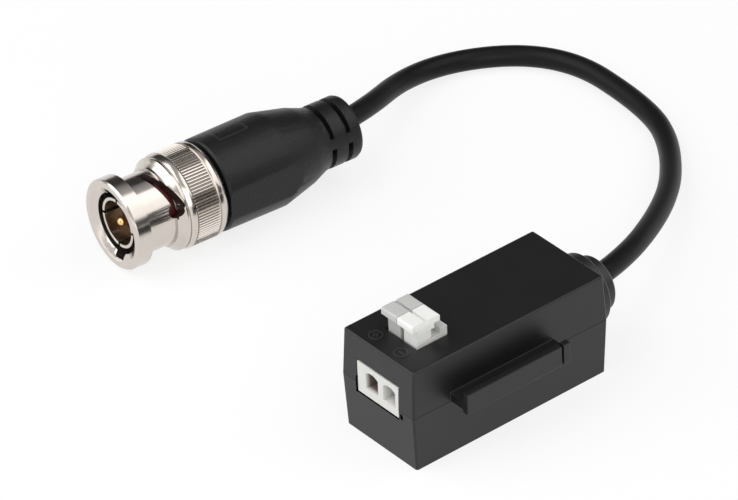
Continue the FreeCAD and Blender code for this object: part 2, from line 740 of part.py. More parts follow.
def centre_pin():
    """The gold centre contact with its blunt nose."""
    nose = PIN_RADIUS * 0.45
    return on_plug(turned([
        (PIN_RECESS, 0), (PIN_RECESS, nose), (PIN_RECESS + 0.5, PIN_RADIUS), (PIN_END, PIN_RADIUS), (PIN_END, 0),
    ]))


def cable_core():
    """The stripped end of the lead inside the plug: insulated core from the pin to the jacket."""
    return on_plug(rod(PIN_END, JACKET_END, STEM_BORE - 0.05))


def wave_washer():
    """The spring washer between the body's flange and the nut's collar."""
    start = FLANGE_START + FLANGE_LENGTH
    return on_plug(tube(start, start + WASHER, FLANGE_RADIUS - 0.1, SHAFT_RADIUS + 0.02))


def thrust_washer():
    """The flat washer that the nut's collar turns against and carries along."""
    return on_plug(tube(COLLAR_START - WASHER, COLLAR_START, FLANGE_RADIUS - 0.1, SHAFT_RADIUS + RUNNING_GAP))


def retaining_ring():
    """The open spring ring that keeps the nut on the body."""
    start = COLLAR_START + NUT_COLLAR + 0.1
    shape = tube(start, start + RING_LENGTH, SHAFT_RADIUS + 0.6, SHAFT_RADIUS - 0.3)
    gap = box(-0.8, 0.8, start - 0.1, start + RING_LENGTH + 0.1, -SHAFT_RADIUS - 2, -SHAFT_RADIUS + 1.5)
    return on_plug(shape.cut(gap))


def ferrule_radius():
    """Outer radius of the ferrule over the jacket."""
    return cable_radius + FERRULE_WALL


def crimp_ferrule(lead):
    """The ferrule crimped over the end of the jacket."""
    return on_plug(tube(FERRULE_START, FERRULE_END, ferrule_radius(), STEM_BORE + 0.2)).cut(lead)


def boot_profile():
    """Half section of the boot's outside: belly, long taper, straight tail and a rounded end."""
    tail_end = BOOT_LENGTH - BOOT_TIP
    return [
        (BOOT_START, 0), (BOOT_START, BOOT_RADIUS - 0.3), (BOOT_START + 0.3, BOOT_RADIUS),
        (BOOT_BELLY_END, BOOT_BELLY), (BOOT_SHOULDER_END, BOOT_SHOULDER), (BOOT_TAIL_START, BOOT_TAIL),
        (tail_end, BOOT_TAIL), (BOOT_LENGTH - BOOT_TIP * 0.3, BOOT_TAIL - BOOT_TIP * 0.3),
        (BOOT_LENGTH, BOOT_TAIL - BOOT_TIP), (BOOT_LENGTH, 0),
    ]


def relief_groove(place):
    """One relief groove round the tail, broken by two bridges."""
    groove = tube(place - RELIEF_WIDTH / 2, place + RELIEF_WIDTH / 2, BOOT_TAIL + 1, BOOT_TAIL - RELIEF_DEPTH)
    half = BOOT_TAIL * math.sin(math.radians(RELIEF_BRIDGE / 2))
    bridge = box(-BOOT_TAIL - 2, BOOT_TAIL + 2, place - 1, place + 1, -half, half)
    bridge.rotate(Vector(0, 0, 0), Vector(0, 1, 0), -RELIEF_ANGLE)
    return groove.cut(bridge)


def boot(lead):
    """The moulded boot, flattened on two sides and grooved at its tail, close round what it covers."""
    body = turned(boot_profile())
    far = BOOT_RADIUS + 2
    for side in (-1, 1):
        x = side * (BOOT_FLAT + far / 2)
        body = body.cut(box(x - far / 2, x + far / 2, BOOT_START - 1, BOOT_SHOULDER_END, -far, far))
    for i in range(2):
        body = body.cut(relief_groove(RELIEF_FIRST + i * RELIEF_PITCH))
    body = body.cut(rod(0, SHAFT_END, SHAFT_RADIUS)).cut(rod(0, STEM_END, STEM_RADIUS))
    body = body.cut(rod(FERRULE_START, FERRULE_END, ferrule_radius())).cut(rod(0, JACKET_END, STEM_BORE))
    return on_plug(body).cut(lead)


def all_pieces():
    """Every piece by its name."""
    lead = cable()
    y = components_y()
    pieces = {
        "housing_base": housing_base(),
        "housing_cover": housing_cover(),
        "terminal_body": terminal_body(),
        "circuit_board": circuit_board(),
        "ferrite_core": ferrite_core(),
        "winding_left": winding(-1),
        "winding_right": winding(1),
        "surge_arrester": surge_arrester(),
        "chip_capacitor": chip(half_width / 4, y),
        "chip_resistor": chip(half_width / 4 + CHIP_WIDTH + 0.6, y),
        "cable_gland": cable_gland(lead),
        "signal_lead": cable_lead(-1),
        "ground_lead": cable_lead(1),
        "cable": lead,
        "boot": boot(lead),
        "plug_body": plug_body(),
        "contact_sleeve": contact_sleeve(),
        "plug_gasket": gasket(),
        "plug_dielectric": dielectric(),
        "centre_pin": centre_pin(),
        "cable_core": cable_core(),
        "crimp_ferrule": crimp_ferrule(lead),
        "wave_washer": wave_washer(),
        "thrust_washer": thrust_washer(),
        "retaining_ring": retaining_ring(),
        "coupling_nut": coupling_nut(),
    }
    for name, x in zip(("left", "right"), pole_centres):
        pieces["contact_" + name] = contact(x)
        pieces["clamp_spring_" + name] = clamp_spring(x)
        pieces["button_" + name] = button(x)
    return pieces


def main():
    """Builds and saves every piece, and prints what the record needs."""
    os.makedirs("parts", exist_ok=True)
    for name, shape in sorted(all_pieces().items()):
        shape.translate(origin_shift)
        solids = shape.Solids
        if len(solids) == 1:
            shape = solids[0]
        print(name, len(solids), shape.isValid(), round(shape.Volume, 2), shape.BoundBox)
        shape.exportStep("parts/" + name + ".step")
    rim = plug_point(0) + origin_shift
    print("plug rim", rim, "axis", plug_point(1) - plug_point(0))


main()
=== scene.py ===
"""Looks of a passive video balun: black two-part housing, push-button wire terminal, short lead
and bayonet plug. Metres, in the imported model's frame: wire entries face -Y, side rail on +X."""
import json
import math

import bmesh
import bpy
from bpy.props import FloatProperty, FloatVectorProperty, IntProperty, PointerProperty
from mathutils import Matrix, Vector

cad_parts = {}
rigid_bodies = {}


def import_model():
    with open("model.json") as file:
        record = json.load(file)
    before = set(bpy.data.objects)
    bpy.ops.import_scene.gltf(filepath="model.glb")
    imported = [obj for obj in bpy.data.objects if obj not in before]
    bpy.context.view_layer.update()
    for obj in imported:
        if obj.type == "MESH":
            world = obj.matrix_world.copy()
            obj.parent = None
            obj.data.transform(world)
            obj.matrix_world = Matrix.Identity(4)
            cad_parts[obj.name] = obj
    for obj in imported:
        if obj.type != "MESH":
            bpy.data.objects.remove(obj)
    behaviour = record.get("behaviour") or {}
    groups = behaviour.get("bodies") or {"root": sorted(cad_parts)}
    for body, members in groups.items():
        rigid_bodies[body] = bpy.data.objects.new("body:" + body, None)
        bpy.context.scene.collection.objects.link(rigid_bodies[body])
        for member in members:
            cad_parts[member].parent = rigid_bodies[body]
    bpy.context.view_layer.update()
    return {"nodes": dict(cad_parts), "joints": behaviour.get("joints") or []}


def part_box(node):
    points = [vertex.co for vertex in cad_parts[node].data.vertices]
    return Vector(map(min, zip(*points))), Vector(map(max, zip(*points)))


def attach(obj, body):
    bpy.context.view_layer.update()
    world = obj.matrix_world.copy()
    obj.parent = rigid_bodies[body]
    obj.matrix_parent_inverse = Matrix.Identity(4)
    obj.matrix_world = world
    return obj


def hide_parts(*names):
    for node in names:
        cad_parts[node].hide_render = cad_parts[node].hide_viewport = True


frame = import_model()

bl_info = {
    "name": "Video balun",
    "version": (1, 0, 0),
    "blender": (4, 5, 0),
    "location": "View3D > Sidebar > Balun",
    "description": "Builds the looks of a passive video balun over its packed solids",
    "category": "Object",
}

MM = 0.001
BODY = "balun"

# The upper half reaches this far below the parting line, and the nut's joint lies this far behind
# the plug's rim
TONGUE_DEPTH = 0.5 * MM
NUT_PIVOT_DEPTH = 12 * MM

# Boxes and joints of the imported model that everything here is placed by
base_low, base_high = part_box("housing_base")
cover_low, cover_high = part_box("housing_cover")
gland_low, gland_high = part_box("cable_gland")
nut_joint = next(joint for joint in frame["joints"] if joint["name"] == "nut_turn")

house_x = (base_low.x + base_high.x) / 2
house_front = base_low.y
house_back = base_high.y
house_top = cover_high.z
parting = cover_low.z + TONGUE_DEPTH
gland_height = (gland_low.z + gland_high.z) / 2
middle = (house_front + house_back) / 2
plug_axis = Vector(nut_joint["axis"]).normalized()
plug_side = plug_axis.cross(Vector((0, 0, 1)))
rim = Vector(nut_joint["pos_m"]) - plug_axis * NUT_PIVOT_DEPTH

# Ribbed grip of the coupling nut, and the spans of its slots and bore where shade is painted, counted from
# the plug's rim
GRIP_START = 10.5 * MM
GRIP_END = 14.5 * MM
GRIP_ROOT = 7.42 * MM
GRIP_CREST = 7.65 * MM
SLOT_START = 5 * MM
SLOT_END = 9.4 * MM
BORE_START = 4 * MM
BORE_RADIUS = 5.4 * MM

# Marks on the mouldings, and the places of painted shade at the terminal's window and in the left wire entry
SIGN_PLACES = ((-3.1 * MM, -15.7 * MM), (2.6 * MM, -15.8 * MM))
SIGN_RADIUS = 1.1 * MM
SIGN_STROKE = 0.17 * MM
SIGN_HEIGHT = 0.1 * MM
OPENING_HALF = 4.65 * MM
OPENING_SILL = 7.65 * MM
OPENING_GAP = 0.16 * MM
GAP_DEPTH = 0.3 * MM
END_TAPER = 0.45 * MM
PIT_PLACE = (5.25 * MM, 8.35 * MM)
PIT_HALF = (0.25 * MM, 0.45 * MM)
ENTRY_PLACE = (-1.355 * MM, 10.6 * MM)
ENTRY_HALF = (1.5 * MM, 1.7 * MM)
ENTRY_SHADE_FADE = (0.2 * MM, 0.9 * MM)
ENTRY_DEPTH = 4.5 * MM
PANEL_PLACE = (22 * MM, 1.2 * MM)
PANEL_HALF = (2.5 * MM, 1.85 * MM)
PANEL_LINE = 0.09 * MM

# Camera of the photograph
PHOTO_WIDTH = 738
LENS_PIXELS = 6245.6
AZIMUTH = 51.89
ELEVATION = 35.08
ROLL = -2.51
CAMERA_DISTANCE = 0.9
AIM_HEIGHT = 8 * MM
AIM_RIGHT = -15.36 * MM
AIM_UP = 14.70 * MM

# Light of the studio: a round soft window high behind the object, a pale ceiling and front wall,
# dark other walls, a white strip along the horizon, and two lamps. A fade is where a part of the
# room begins and ends to show, as heights or as distances forward on a sphere of radius 1
WINDOW_TOWARD = Vector((0.45, 0.5, 0.74)).normalized()
WINDOW_CORE = math.radians(27)
WINDOW_EDGE = math.radians(32)
WINDOW_LIGHT = 1.45
CEILING_LIGHT = 0.4
WALL_LIGHT = 0.04
FRONT_WALL_LIGHT = 0.6
HORIZON_LIGHT = 0.85
FLOOR_GLOW = 0.8
CEILING_FADE = (0.66, 0.9)
HORIZON_FADE = (0.14, 0.18)
FRONT_WALL_FADE = (-0.6, -0.1)
FLOOR_HALF = 1.5
LAMP_AIM = Vector((-0.03, 0.02, 0))
LAMPS = {
    "key": {"place": (-0.3, -0.4, 0.55), "size": 0.8, "power": 3.7},
    "fill": {"place": (0.5, -0.2, 0.35), "size": 0.5, "power": 1.6},
}


# Shader maths and node helpers


class Field:
    """A number that varies over a surface: wraps an output socket, so maths on it adds nodes."""

    def __init__(self, graph, socket):
        self.graph = graph
        self.socket = socket

    def math(self, operation, *values):
        sockets = dict(enumerate(values))
        return self.graph.node("ShaderNodeMath", {"operation": operation}, sockets)[0]

    def __add__(self, other):
        return self.math("ADD", self, other)

    def __sub__(self, other):
        return self.math("SUBTRACT", self, other)

    def __mul__(self, other):
        return self.math("MULTIPLY", self, other)

    def __truediv__(self, other):
        return self.math("DIVIDE", self, other)

    def __radd__(self, other):
        return self.math("ADD", other, self)

    def __rsub__(self, other):
        return self.math("SUBTRACT", other, self)

    def __gt__(self, other):
        return self.math("GREATER_THAN", self, other)

    def __lt__(self, other):
        return self.math("LESS_THAN", self, other)

    def __abs__(self):
        return self.math("ABSOLUTE", self)

    def larger(self, other):
        return self.math("MAXIMUM", self, other)

    def root(self):
        return self.math("SQRT", self)


class Graph:
    """A node tree under construction."""

    def __init__(self, tree):
        self.tree = tree
        self.tree.nodes.clear()

    def node(self, kind, settings, sockets):
        """Adds a node, sets it, then fills its sockets; its outputs come back as fields."""
        made = self.tree.nodes.new(kind)
        for name, value in settings.items():
            setattr(made, name, value)
        for key, value in sockets.items():
            if isinstance(value, Field):
                self.tree.links.new(value.socket, made.inputs[key])
            else:
                made.inputs[key].default_value = value
        return [Field(self, output) for output in made.outputs]

    def ramp(self, value, low, high):
        """0 below low, 1 above high, smooth between."""
        settings = {"interpolation_type": "SMOOTHSTEP"}
        sockets = {0: value, 1: low, 2: high, 3: 0.0, 4: 1.0}
        return self.node("ShaderNodeMapRange", settings, sockets)[0]

    def offset(self, place, origin):
        """A place as seen from an origin."""
        settings = {"operation": "SUBTRACT"}
        return self.node("ShaderNodeVectorMath", settings, {0: place, 1: origin})[0]

    def share(self, vector, axis):
        """How far a vector reaches along an axis of length 1."""
        settings = {"operation": "DOT_PRODUCT"}
        return self.node("ShaderNodeVectorMath", settings, {0: vector, 1: axis})[1]


class Surface(Graph):
    """One material under construction."""

    def __init__(self, name, color, roughness, metallic=0.0, **fixed):
        self.material = bpy.data.materials.new(name)
        self.material.use_nodes = True
        self.material.diffuse_color = (*color, 1)
        super().__init__(self.material.node_tree)
        self.shader = self.tree.nodes.new("ShaderNodeBsdfPrincipled")
        self.output = self.tree.nodes.new("ShaderNodeOutputMaterial")
        self.tree.links.new(self.shader.outputs["BSDF"], self.output.inputs["Surface"])
        self.shader.inputs["Base Color"].default_value = (*color, 1)
        self.shader.inputs["Roughness"].default_value = roughness
        self.shader.inputs["Metallic"].default_value = metallic
        for socket, value in fixed.items():
            self.shader.inputs[socket.replace("_", " ")].default_value = value
        self.object_place = self.node("ShaderNodeTexCoord", {}, {})[3]

    def noise(self, size, detail=2.0, place=None):
        """Noise between 0 and 1 whose blotches are about this large, in metres."""
        sockets = {"Vector": place or self.object_place, "Scale": 1 / size, "Detail": detail}
        return self.node("ShaderNodeTexNoise", {}, sockets)[0]

    def along(self, axis, origin=(0, 0, 0)):
        """Distance along an axis from an origin, in metres."""
        return self.share(self.offset(self.object_place, origin), axis)

    def mix(self, share, color_a, color_b):
        """A colour between two others, each a plain colour or a field."""
        ends = [color if isinstance(color, Field) else (*color, 1) for color in (color_a, color_b)]
        return self.node("ShaderNodeMix", {"data_type": "RGBA"}, {0: share, 6: ends[0], 7: ends[1]})[2]

    def feed(self, socket, value):
        """Lets a field drive one of the shader's varying sockets."""
        self.tree.links.new(value.socket, self.shader.inputs[socket])

    def relief(self, height, depth):
        """Raises and lowers the surface by a field of 0 to 1, this deep in metres."""
        bump = self.node("ShaderNodeBump", {}, {"Height": height, "Strength": 1.0, "Distance": depth})[0]
        self.feed("Normal", bump)


# Materials


def moulded_black(name, color, grain, depth, roughness, gloss=0.5, marks=None):
    """Black moulded plastic with the fine grain of a spark-eroded mould."""
    surface = Surface(name, color, roughness, Specular_IOR_Level=gloss)
    fine = surface.noise(grain, 3.0)
    cloud = surface.noise(6 * MM, 2.0)
    lighter = [min(1, c * 1.35) for c in color]
    darker = [c * 0.8 for c in color]
    shade = surface.mix(cloud * 0.6 + fine * 0.4, darker, lighter)
    height = fine
    if marks:
        shade, height = marks(surface, shade, fine)
    surface.feed("Base Color", shade)
    surface.feed("Roughness", roughness - 0.06 + fine * 0.08 + cloud * 0.04)
    surface.relief(height, depth)
    return surface.material


def boot_panel(surface, shade, height):
    """The faint raised outline of a flat panel on the boot's top: the bump is its relief, and the line is
    painted lighter as a highlight on its edge.
    """
    along = surface.along(tuple(plug_axis), tuple(rim + plug_axis * PANEL_PLACE[0]))
    across = surface.along(tuple(plug_side), tuple(rim - plug_side * PANEL_PLACE[1]))
    up = surface.along((0, 0, 1), tuple(rim))
    outside = (abs(along) - PANEL_HALF[0]).larger(abs(across) - PANEL_HALF[1])
    line = (abs(outside) < PANEL_LINE) * (up > 0)
    return surface.mix(line * 0.5, shade, (0.06, 0.06, 0.06)), height + line * 2


def entry_shade(surface, shade):
    """Painted brown shade on the left wire entry's walls, fading in just inside the mouth and full deeper
    in.
    """
    across = surface.along((1, 0, 0), (house_x + ENTRY_PLACE[0], 0, 0))
    up = surface.along((0, 0, 1), (0, 0, ENTRY_PLACE[1]))
    inward = surface.along((0, 1, 0), (0, house_front, 0))
    opening = (abs(across) < ENTRY_HALF[0]) * (abs(up) < ENTRY_HALF[1])
    painted_shade = opening * surface.ramp(inward, *ENTRY_SHADE_FADE) * (inward < ENTRY_DEPTH)
    return surface.mix(painted_shade, shade, (0.16, 0.13, 0.105))


def moulded_pale(name, color, roughness, marks=None):
    """Pale glass-smooth moulded plastic with faint flow clouds."""
    surface = Surface(name, color, roughness, Subsurface_Weight=0.08, Subsurface_Scale=0.4 * MM)
    cloud = surface.noise(2.5 * MM, 2.0)
    darker = [c * 0.95 for c in color]
    shade = surface.mix(cloud, darker, color)
    surface.feed("Base Color", marks(surface, shade) if marks else shade)
    surface.feed("Roughness", roughness - 0.04 + cloud * 0.08)
    surface.relief(surface.noise(0.25 * MM), 0.002 * MM)
    return surface.material


def painted_hollow_shade(surface):
    """1 between the grip's ribs and inside the nut's bore, where painted shade darkens the plating."""
    from_rim = surface.offset(surface.object_place, rim)
    along = surface.share(from_rim, plug_axis)
    reach = surface.node("ShaderNodeVectorMath", {"operation": "LENGTH"}, {0: from_rim})[1]
    radius = (reach * reach - along * along).root()
    middle_of_grip = (GRIP_START + GRIP_END) / 2
    grip = abs(along - middle_of_grip) < (GRIP_END - GRIP_START) / 2
    valley = grip * (1 - surface.ramp(radius, GRIP_ROOT + 0.05 * MM, GRIP_CREST - 0.05 * MM))
    bore = (along > BORE_START) * (radius < BORE_RADIUS)
    return (valley * 0.75).larger(bore)


def turned_nickel(name, color, roughness, axis, pitch):
    """Bright nickel plating over fine turning lines round an axis, with painted shade between the grip's
    ribs and inside the nut's bore.
    """
    surface = Surface(name, color, roughness, 1.0)
    place = surface.along(axis)
    stretched = surface.node("ShaderNodeCombineXYZ", {}, {"X": place})[0]
    lines = surface.noise(pitch, 3.0, stretched)
    cloud = surface.noise(1.8 * MM, 3.0)
    darker = [c * 0.9 for c in color]
    shade = surface.mix(cloud, darker, color)
    # Painted shade: the plating turns dark between the grip's ribs and inside the bore.
    surface.feed("Base Color", surface.mix(painted_hollow_shade(surface), shade, (0.2, 0.175, 0.155)))
    surface.feed("Roughness", roughness - 0.04 + lines * 0.07 + cloud * 0.04)
    surface.relief(lines, 0.003 * MM)
    return surface.material


def plain_metal(name, color, roughness):
    """Rolled or plated metal with light handling marks."""
    surface = Surface(name, color, roughness, 1.0)
    cloud = surface.noise(0.9 * MM, 3.0)
    surface.feed("Roughness", roughness - 0.05 + cloud * 0.1)
    return surface.material


def plain_finish(name, color, roughness):
    """An even finish with a faint grain, for small parts."""
    surface = Surface(name, color, roughness)
    grain = surface.noise(0.3 * MM, 2.0)
    surface.feed("Base Color", surface.mix(grain, [c * 0.85 for c in color], color))
    surface.relief(grain, 0.004 * MM)
    return surface.material


class Finishes:
    """The materials, made once by the first operator that needs them."""

    made = {}

    @classmethod
    def get(cls, name):
        if name not in cls.made:
            cls.made[name] = cls.make(name)
        return cls.made[name]

    @staticmethod
    def make(name):
        look = bpy.context.scene.balun
        axis = tuple(plug_axis)
        makers = {
            "housing": lambda: moulded_black(name, look.housing_color, 0.16 * MM, 0.01 * MM, 0.42, 0.44),
            "signs": lambda: moulded_black(name, look.sign_color, 0.16 * MM, 0.004 * MM, 0.4),
            # Black with no shine: painted shade for the gaps at the terminal's window and the hole beside
            # it.
            "painted_gap_shade": lambda: Surface(name, (0.001, 0.001, 0.001), 1.0, Specular_IOR_Level=0.0).material,
            "boot": lambda: moulded_black(
                name, look.boot_color, 0.38 * MM, 0.06 * MM, 0.38, 0.28, boot_panel),
            "gland": lambda: moulded_black(name, look.boot_color, 0.12 * MM, 0.005 * MM, 0.42),
            "jacket": lambda: moulded_black(name, look.cable_color, 0.1 * MM, 0.004 * MM, 0.38, 0.12),
            "terminal": lambda: moulded_pale(name, look.terminal_color, 0.34, entry_shade),
            "button_grey": lambda: moulded_pale(name, look.button_grey_color, 0.34),
            "button_white": lambda: moulded_pale(name, look.button_white_color, 0.3),
            "nickel": lambda: turned_nickel(name, look.nickel_color, 0.17, axis, 0.05 * MM),
            # The slots' walls: painted shade, dark red.
            "slot_painted_shade": lambda: plain_finish(name, (0.02, 0.006, 0.006), 0.5),
            "gold": lambda: plain_metal(name, (0.85, 0.58, 0.25), 0.2),
            "spring_steel": lambda: plain_metal(name, (0.55, 0.55, 0.53), 0.28),
            "tin": lambda: plain_metal(name, (0.7, 0.7, 0.68), 0.35),
            "copper": lambda: plain_metal(name, (0.6, 0.22, 0.1), 0.3),
            "board": lambda: plain_finish(name, (0.02, 0.14, 0.05), 0.3),
            "ferrite": lambda: plain_finish(name, (0.05, 0.05, 0.055), 0.6),
            "arrester": lambda: plain_finish(name, (0.75, 0.72, 0.66), 0.25),
            "chip_tan": lambda: plain_finish(name, (0.5, 0.38, 0.24), 0.5),
            "chip_black": lambda: plain_finish(name, (0.03, 0.03, 0.03), 0.5),
            "lead_red": lambda: plain_finish(name, (0.5, 0.03, 0.02), 0.35),
            "lead_black": lambda: plain_finish(name, (0.02, 0.02, 0.02), 0.35),
            "core_insulation": lambda: plain_finish(name, (0.8, 0.8, 0.76), 0.35),
            "gasket": lambda: plain_finish(name, look.gasket_color, 0.4),
            "dielectric": lambda: plain_finish(name, look.dielectric_color, 0.4),
        }
        return makers[name]()


# Meshes


def finish_object(name, mesh, material, body, replaces=()):
    """Puts a mesh in the scene as a piece that rides on a body."""
    mesh.materials.clear()
    mesh.materials.append(material)
    piece = bpy.data.objects.new(name, mesh)
    bpy.context.scene.collection.objects.link(piece)
    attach(piece, body)
    if replaces:
        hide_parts(*replaces)
    return piece


def applied(name, source, modifiers):
    """A plain mesh: the source with these modifiers on it."""
    holder = bpy.data.objects.new(name + "_raw", source)
    bpy.context.scene.collection.objects.link(holder)
    for kind, settings in modifiers:
        modifier = holder.modifiers.new(kind, kind)
        for key, value in settings.items():
            setattr(modifier, key, value)
    depsgraph = bpy.context.evaluated_depsgraph_get()
    mesh = bpy.data.meshes.new_from_object(holder.evaluated_get(depsgraph))
    mesh.name = name
    bpy.data.objects.remove(holder)
    return mesh


def merged_copy(node):
    """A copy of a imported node's mesh with its loose triangles joined up."""
    mesh = frame["nodes"][node].data.copy()
    shape = bmesh.new()
    shape.from_mesh(mesh)
    bmesh.ops.remove_doubles(shape, verts=shape.verts, dist=0.002 * MM)
    bmesh.ops.dissolve_limit(shape, angle_limit=math.radians(0.5), verts=shape.verts, edges=shape.edges)
    shape.to_mesh(mesh)
    shape.free()
    return mesh


def softened(name, node, edge, material, body):
    """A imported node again, its sharp edges rounded as moulding leaves them."""
    settings = {"width": edge, "segments": 2, "limit_method": "ANGLE", "angle_limit": math.radians(28),
                "use_clamp_overlap": True}
    mesh = applied(name, merged_copy(node), [("BEVEL", settings)])
    mesh.shade_smooth()
    mesh.set_sharp_from_angle(angle=math.radians(35))
    mesh = applied(name, mesh, [("WEIGHTED_NORMAL", {"keep_sharp": True})])
    return finish_object(name, mesh, material, body, [node])


def dress(node, material):
    """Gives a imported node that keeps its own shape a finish."""
    piece = frame["nodes"][node]
    piece.data.materials.clear()
    piece.data.materials.append(material)


def strip(shape, inner, outer, low, high, closed):
    """A raised strip between two rows of points, square in section."""
    sections = []
    for a, b in zip(inner, outer):
        corners = ((*a, low), (*a, high), (*b, high), (*b, low))
        sections.append([shape.verts.new(corner) for corner in corners])
    following = sections[1:] + sections[:1] if closed else sections[1:]
    for one, two in zip(sections, following):
        for side in range(4):
            shape.faces.new((one[side], one[side - 1], two[side - 1], two[side]))
    if not closed:
        shape.faces.new(sections[0])
        shape.faces.new(sections[-1][::-1])


def closed_mesh(name, shape):
    """The mesh of a finished bmesh, its faces turned outwards."""
    bmesh.ops.recalc_face_normals(shape, faces=shape.faces)
    mesh = bpy.data.meshes.new(name)
    shape.to_mesh(mesh)
    shape.free()
    return mesh


def rib_tree():
    """Geometry nodes: a ring of tapered ribs round the Y axis."""
    tree = bpy.data.node_groups.new("grip_ribs", "GeometryNodeTree")
    tree.is_modifier = True
    tree.interface.new_socket(name="Geometry", in_out="OUTPUT", socket_type="NodeSocketGeometry")
    tree.interface.new_socket(name="Ribs", in_out="INPUT", socket_type="NodeSocketInt")
    for name in ("Root radius", "Height", "Width", "Length"):
        tree.interface.new_socket(name=name, in_out="INPUT", socket_type="NodeSocketFloat")
    tree.interface.new_socket(name="Finish", in_out="INPUT", socket_type="NodeSocketMaterial")
    graph = Graph(tree)
    count, root, height, width, length, finish = graph.node("NodeGroupInput", {}, {})[:6]
    size = graph.node("ShaderNodeCombineXYZ", {}, {0: width, 1: length, 2: height})[0]
    block = graph.node("GeometryNodeMeshCube", {}, {"Size": size})[0]
    place = graph.node("GeometryNodeInputPosition", {}, {})[0]
    x, y, z = graph.node("ShaderNodeSeparateXYZ", {}, {0: place})
    crest = z > 0
    tapered = graph.node("ShaderNodeCombineXYZ", {}, {
        0: x * (1 - crest * 0.6), 1: y * (1 - crest * 0.08), 2: z + height * 0.5 + root})[0]
    rib = graph.node("GeometryNodeSetPosition", {}, {"Geometry": block, "Position": tapered})[0]
    centres = graph.node("GeometryNodeMeshLine", {}, {"Count": count, "Offset": (0, 0, 0)})[0]
    index = graph.node("GeometryNodeInputIndex", {}, {})[0]
    turn = graph.node("ShaderNodeCombineXYZ", {}, {1: index * math.tau / count})[0]
    rotation = graph.node("FunctionNodeEulerToRotation", {}, {0: turn})[0]
    ring = graph.node("GeometryNodeInstanceOnPoints", {}, {
        "Points": centres, "Instance": rib, "Rotation": rotation})[0]
    solid = graph.node("GeometryNodeRealizeInstances", {}, {"Geometry": ring})[0]
    finished = graph.node("GeometryNodeSetMaterial", {}, {"Geometry": solid, "Material": finish})[0]
    graph.node("NodeGroupOutput", {}, {0: finished})
    return tree


def grown(name, tree, values):
    """The plain mesh that a geometry node tree makes from these named inputs."""
    holder = bpy.data.objects.new(name + "_raw", bpy.data.meshes.new(name + "_raw"))
    modifier = holder.modifiers.new("nodes", "NODES")
    modifier.node_group = tree
    for item in tree.interface.items_tree:
        if item.name in values:
            modifier[item.identifier] = values[item.name]
    bpy.context.scene.collection.objects.link(holder)
    depsgraph = bpy.context.evaluated_depsgraph_get()
    mesh = bpy.data.meshes.new_from_object(holder.evaluated_get(depsgraph))
    mesh.name = name
    bpy.data.objects.remove(holder)
    return mesh


# The lead's route: out of the back, down to the floor, round in a loop and up into the boot
def cable_route():
    """The points that pull the lead's curve, in the row frame."""
    radius = bpy.context.scene.balun.cable_diameter / 2
    return [
        Vector((house_x, house_back - 6.4 * MM, gland_height)),
        Vector((house_x, house_back + 7.8 * MM, gland_height)),
        Vector((house_x - 13.4 * MM, middle + 49.2 * MM, 4.2 * MM)),
        Vector((house_x - 26.8 * MM, middle + 61.9 * MM, radius)),
        Vector((house_x - 37.3 * MM, middle + 66.5 * MM, radius)),
        Vector((house_x - 58.9 * MM, middle + 66.9 * MM, radius)),
        Vector((house_x - 70.7 * MM, middle + 48.5 * MM, radius)),
        rim + plug_axis * 42.9 * MM,
        rim + plug_axis * 27.4 * MM,
    ]


class BalunLook(bpy.types.PropertyGroup):
    """Sizes and colours that a user would change."""

    cable_diameter: FloatProperty(
        name="Lead diameter", description="Thickness of the black lead", default=3.4 * MM,
        min=2 * MM, max=6 * MM, subtype="DISTANCE", unit="LENGTH")
    edge_round: FloatProperty(
        name="Edge rounding", description="Rounding of the housing's moulded edges", default=0.12 * MM,
        min=0.02 * MM, max=0.3 * MM, subtype="DISTANCE", unit="LENGTH")
    rib_count: IntProperty(
        name="Grip ribs", description="Number of ribs round the coupling nut", default=98, min=24, max=160)
    rib_width: FloatProperty(
        name="Rib width", description="Width of a grip rib, as a share of the ribs' pitch", default=0.85,
        min=0.3, max=1, subtype="FACTOR")
    housing_color: FloatVectorProperty(
        name="Housing colour", description="Colour of the housing", default=(0.0055, 0.0055, 0.006),
        subtype="COLOR", size=3, min=0, max=1)
    sign_color: FloatVectorProperty(
        name="Sign colour", description="Colour of the raised polarity signs", default=(0.028, 0.028, 0.03),
        subtype="COLOR", size=3, min=0, max=1)
    boot_color: FloatVectorProperty(
        name="Boot colour", description="Colour of the boot and strain relief",
        default=(0.008, 0.008, 0.0085), subtype="COLOR", size=3, min=0, max=1)
    cable_color: FloatVectorProperty(
        name="Lead colour", description="Colour of the lead's jacket", default=(0.007, 0.007, 0.0075),
        subtype="COLOR", size=3, min=0, max=1)
    terminal_color: FloatVectorProperty(
        name="Terminal colour", description="Colour of the wire terminal", default=(0.59, 0.59, 0.565),
        subtype="COLOR", size=3, min=0, max=1)
    button_grey_color: FloatVectorProperty(
        name="Left button colour", description="Colour of the left push button", default=(0.49, 0.49, 0.475),
        subtype="COLOR", size=3, min=0, max=1)
    button_white_color: FloatVectorProperty(
        name="Right button colour", description="Colour of the right push button",
        default=(0.78, 0.78, 0.755), subtype="COLOR", size=3, min=0, max=1)
    nickel_color: FloatVectorProperty(
        name="Nickel colour", description="Colour of the plug's plating", default=(0.66, 0.605, 0.555),
        subtype="COLOR", size=3, min=0, max=1)
    gasket_color: FloatVectorProperty(
        name="Gasket colour", description="Colour of the plug's sealing ring", default=(0.07, 0.003, 0.003),
        subtype="COLOR", size=3, min=0, max=1)
    dielectric_color: FloatVectorProperty(
        name="Insulator colour", description="Colour of the bead round the centre pin",
        default=(0.26, 0.15, 0.07), subtype="COLOR", size=3, min=0, max=1)


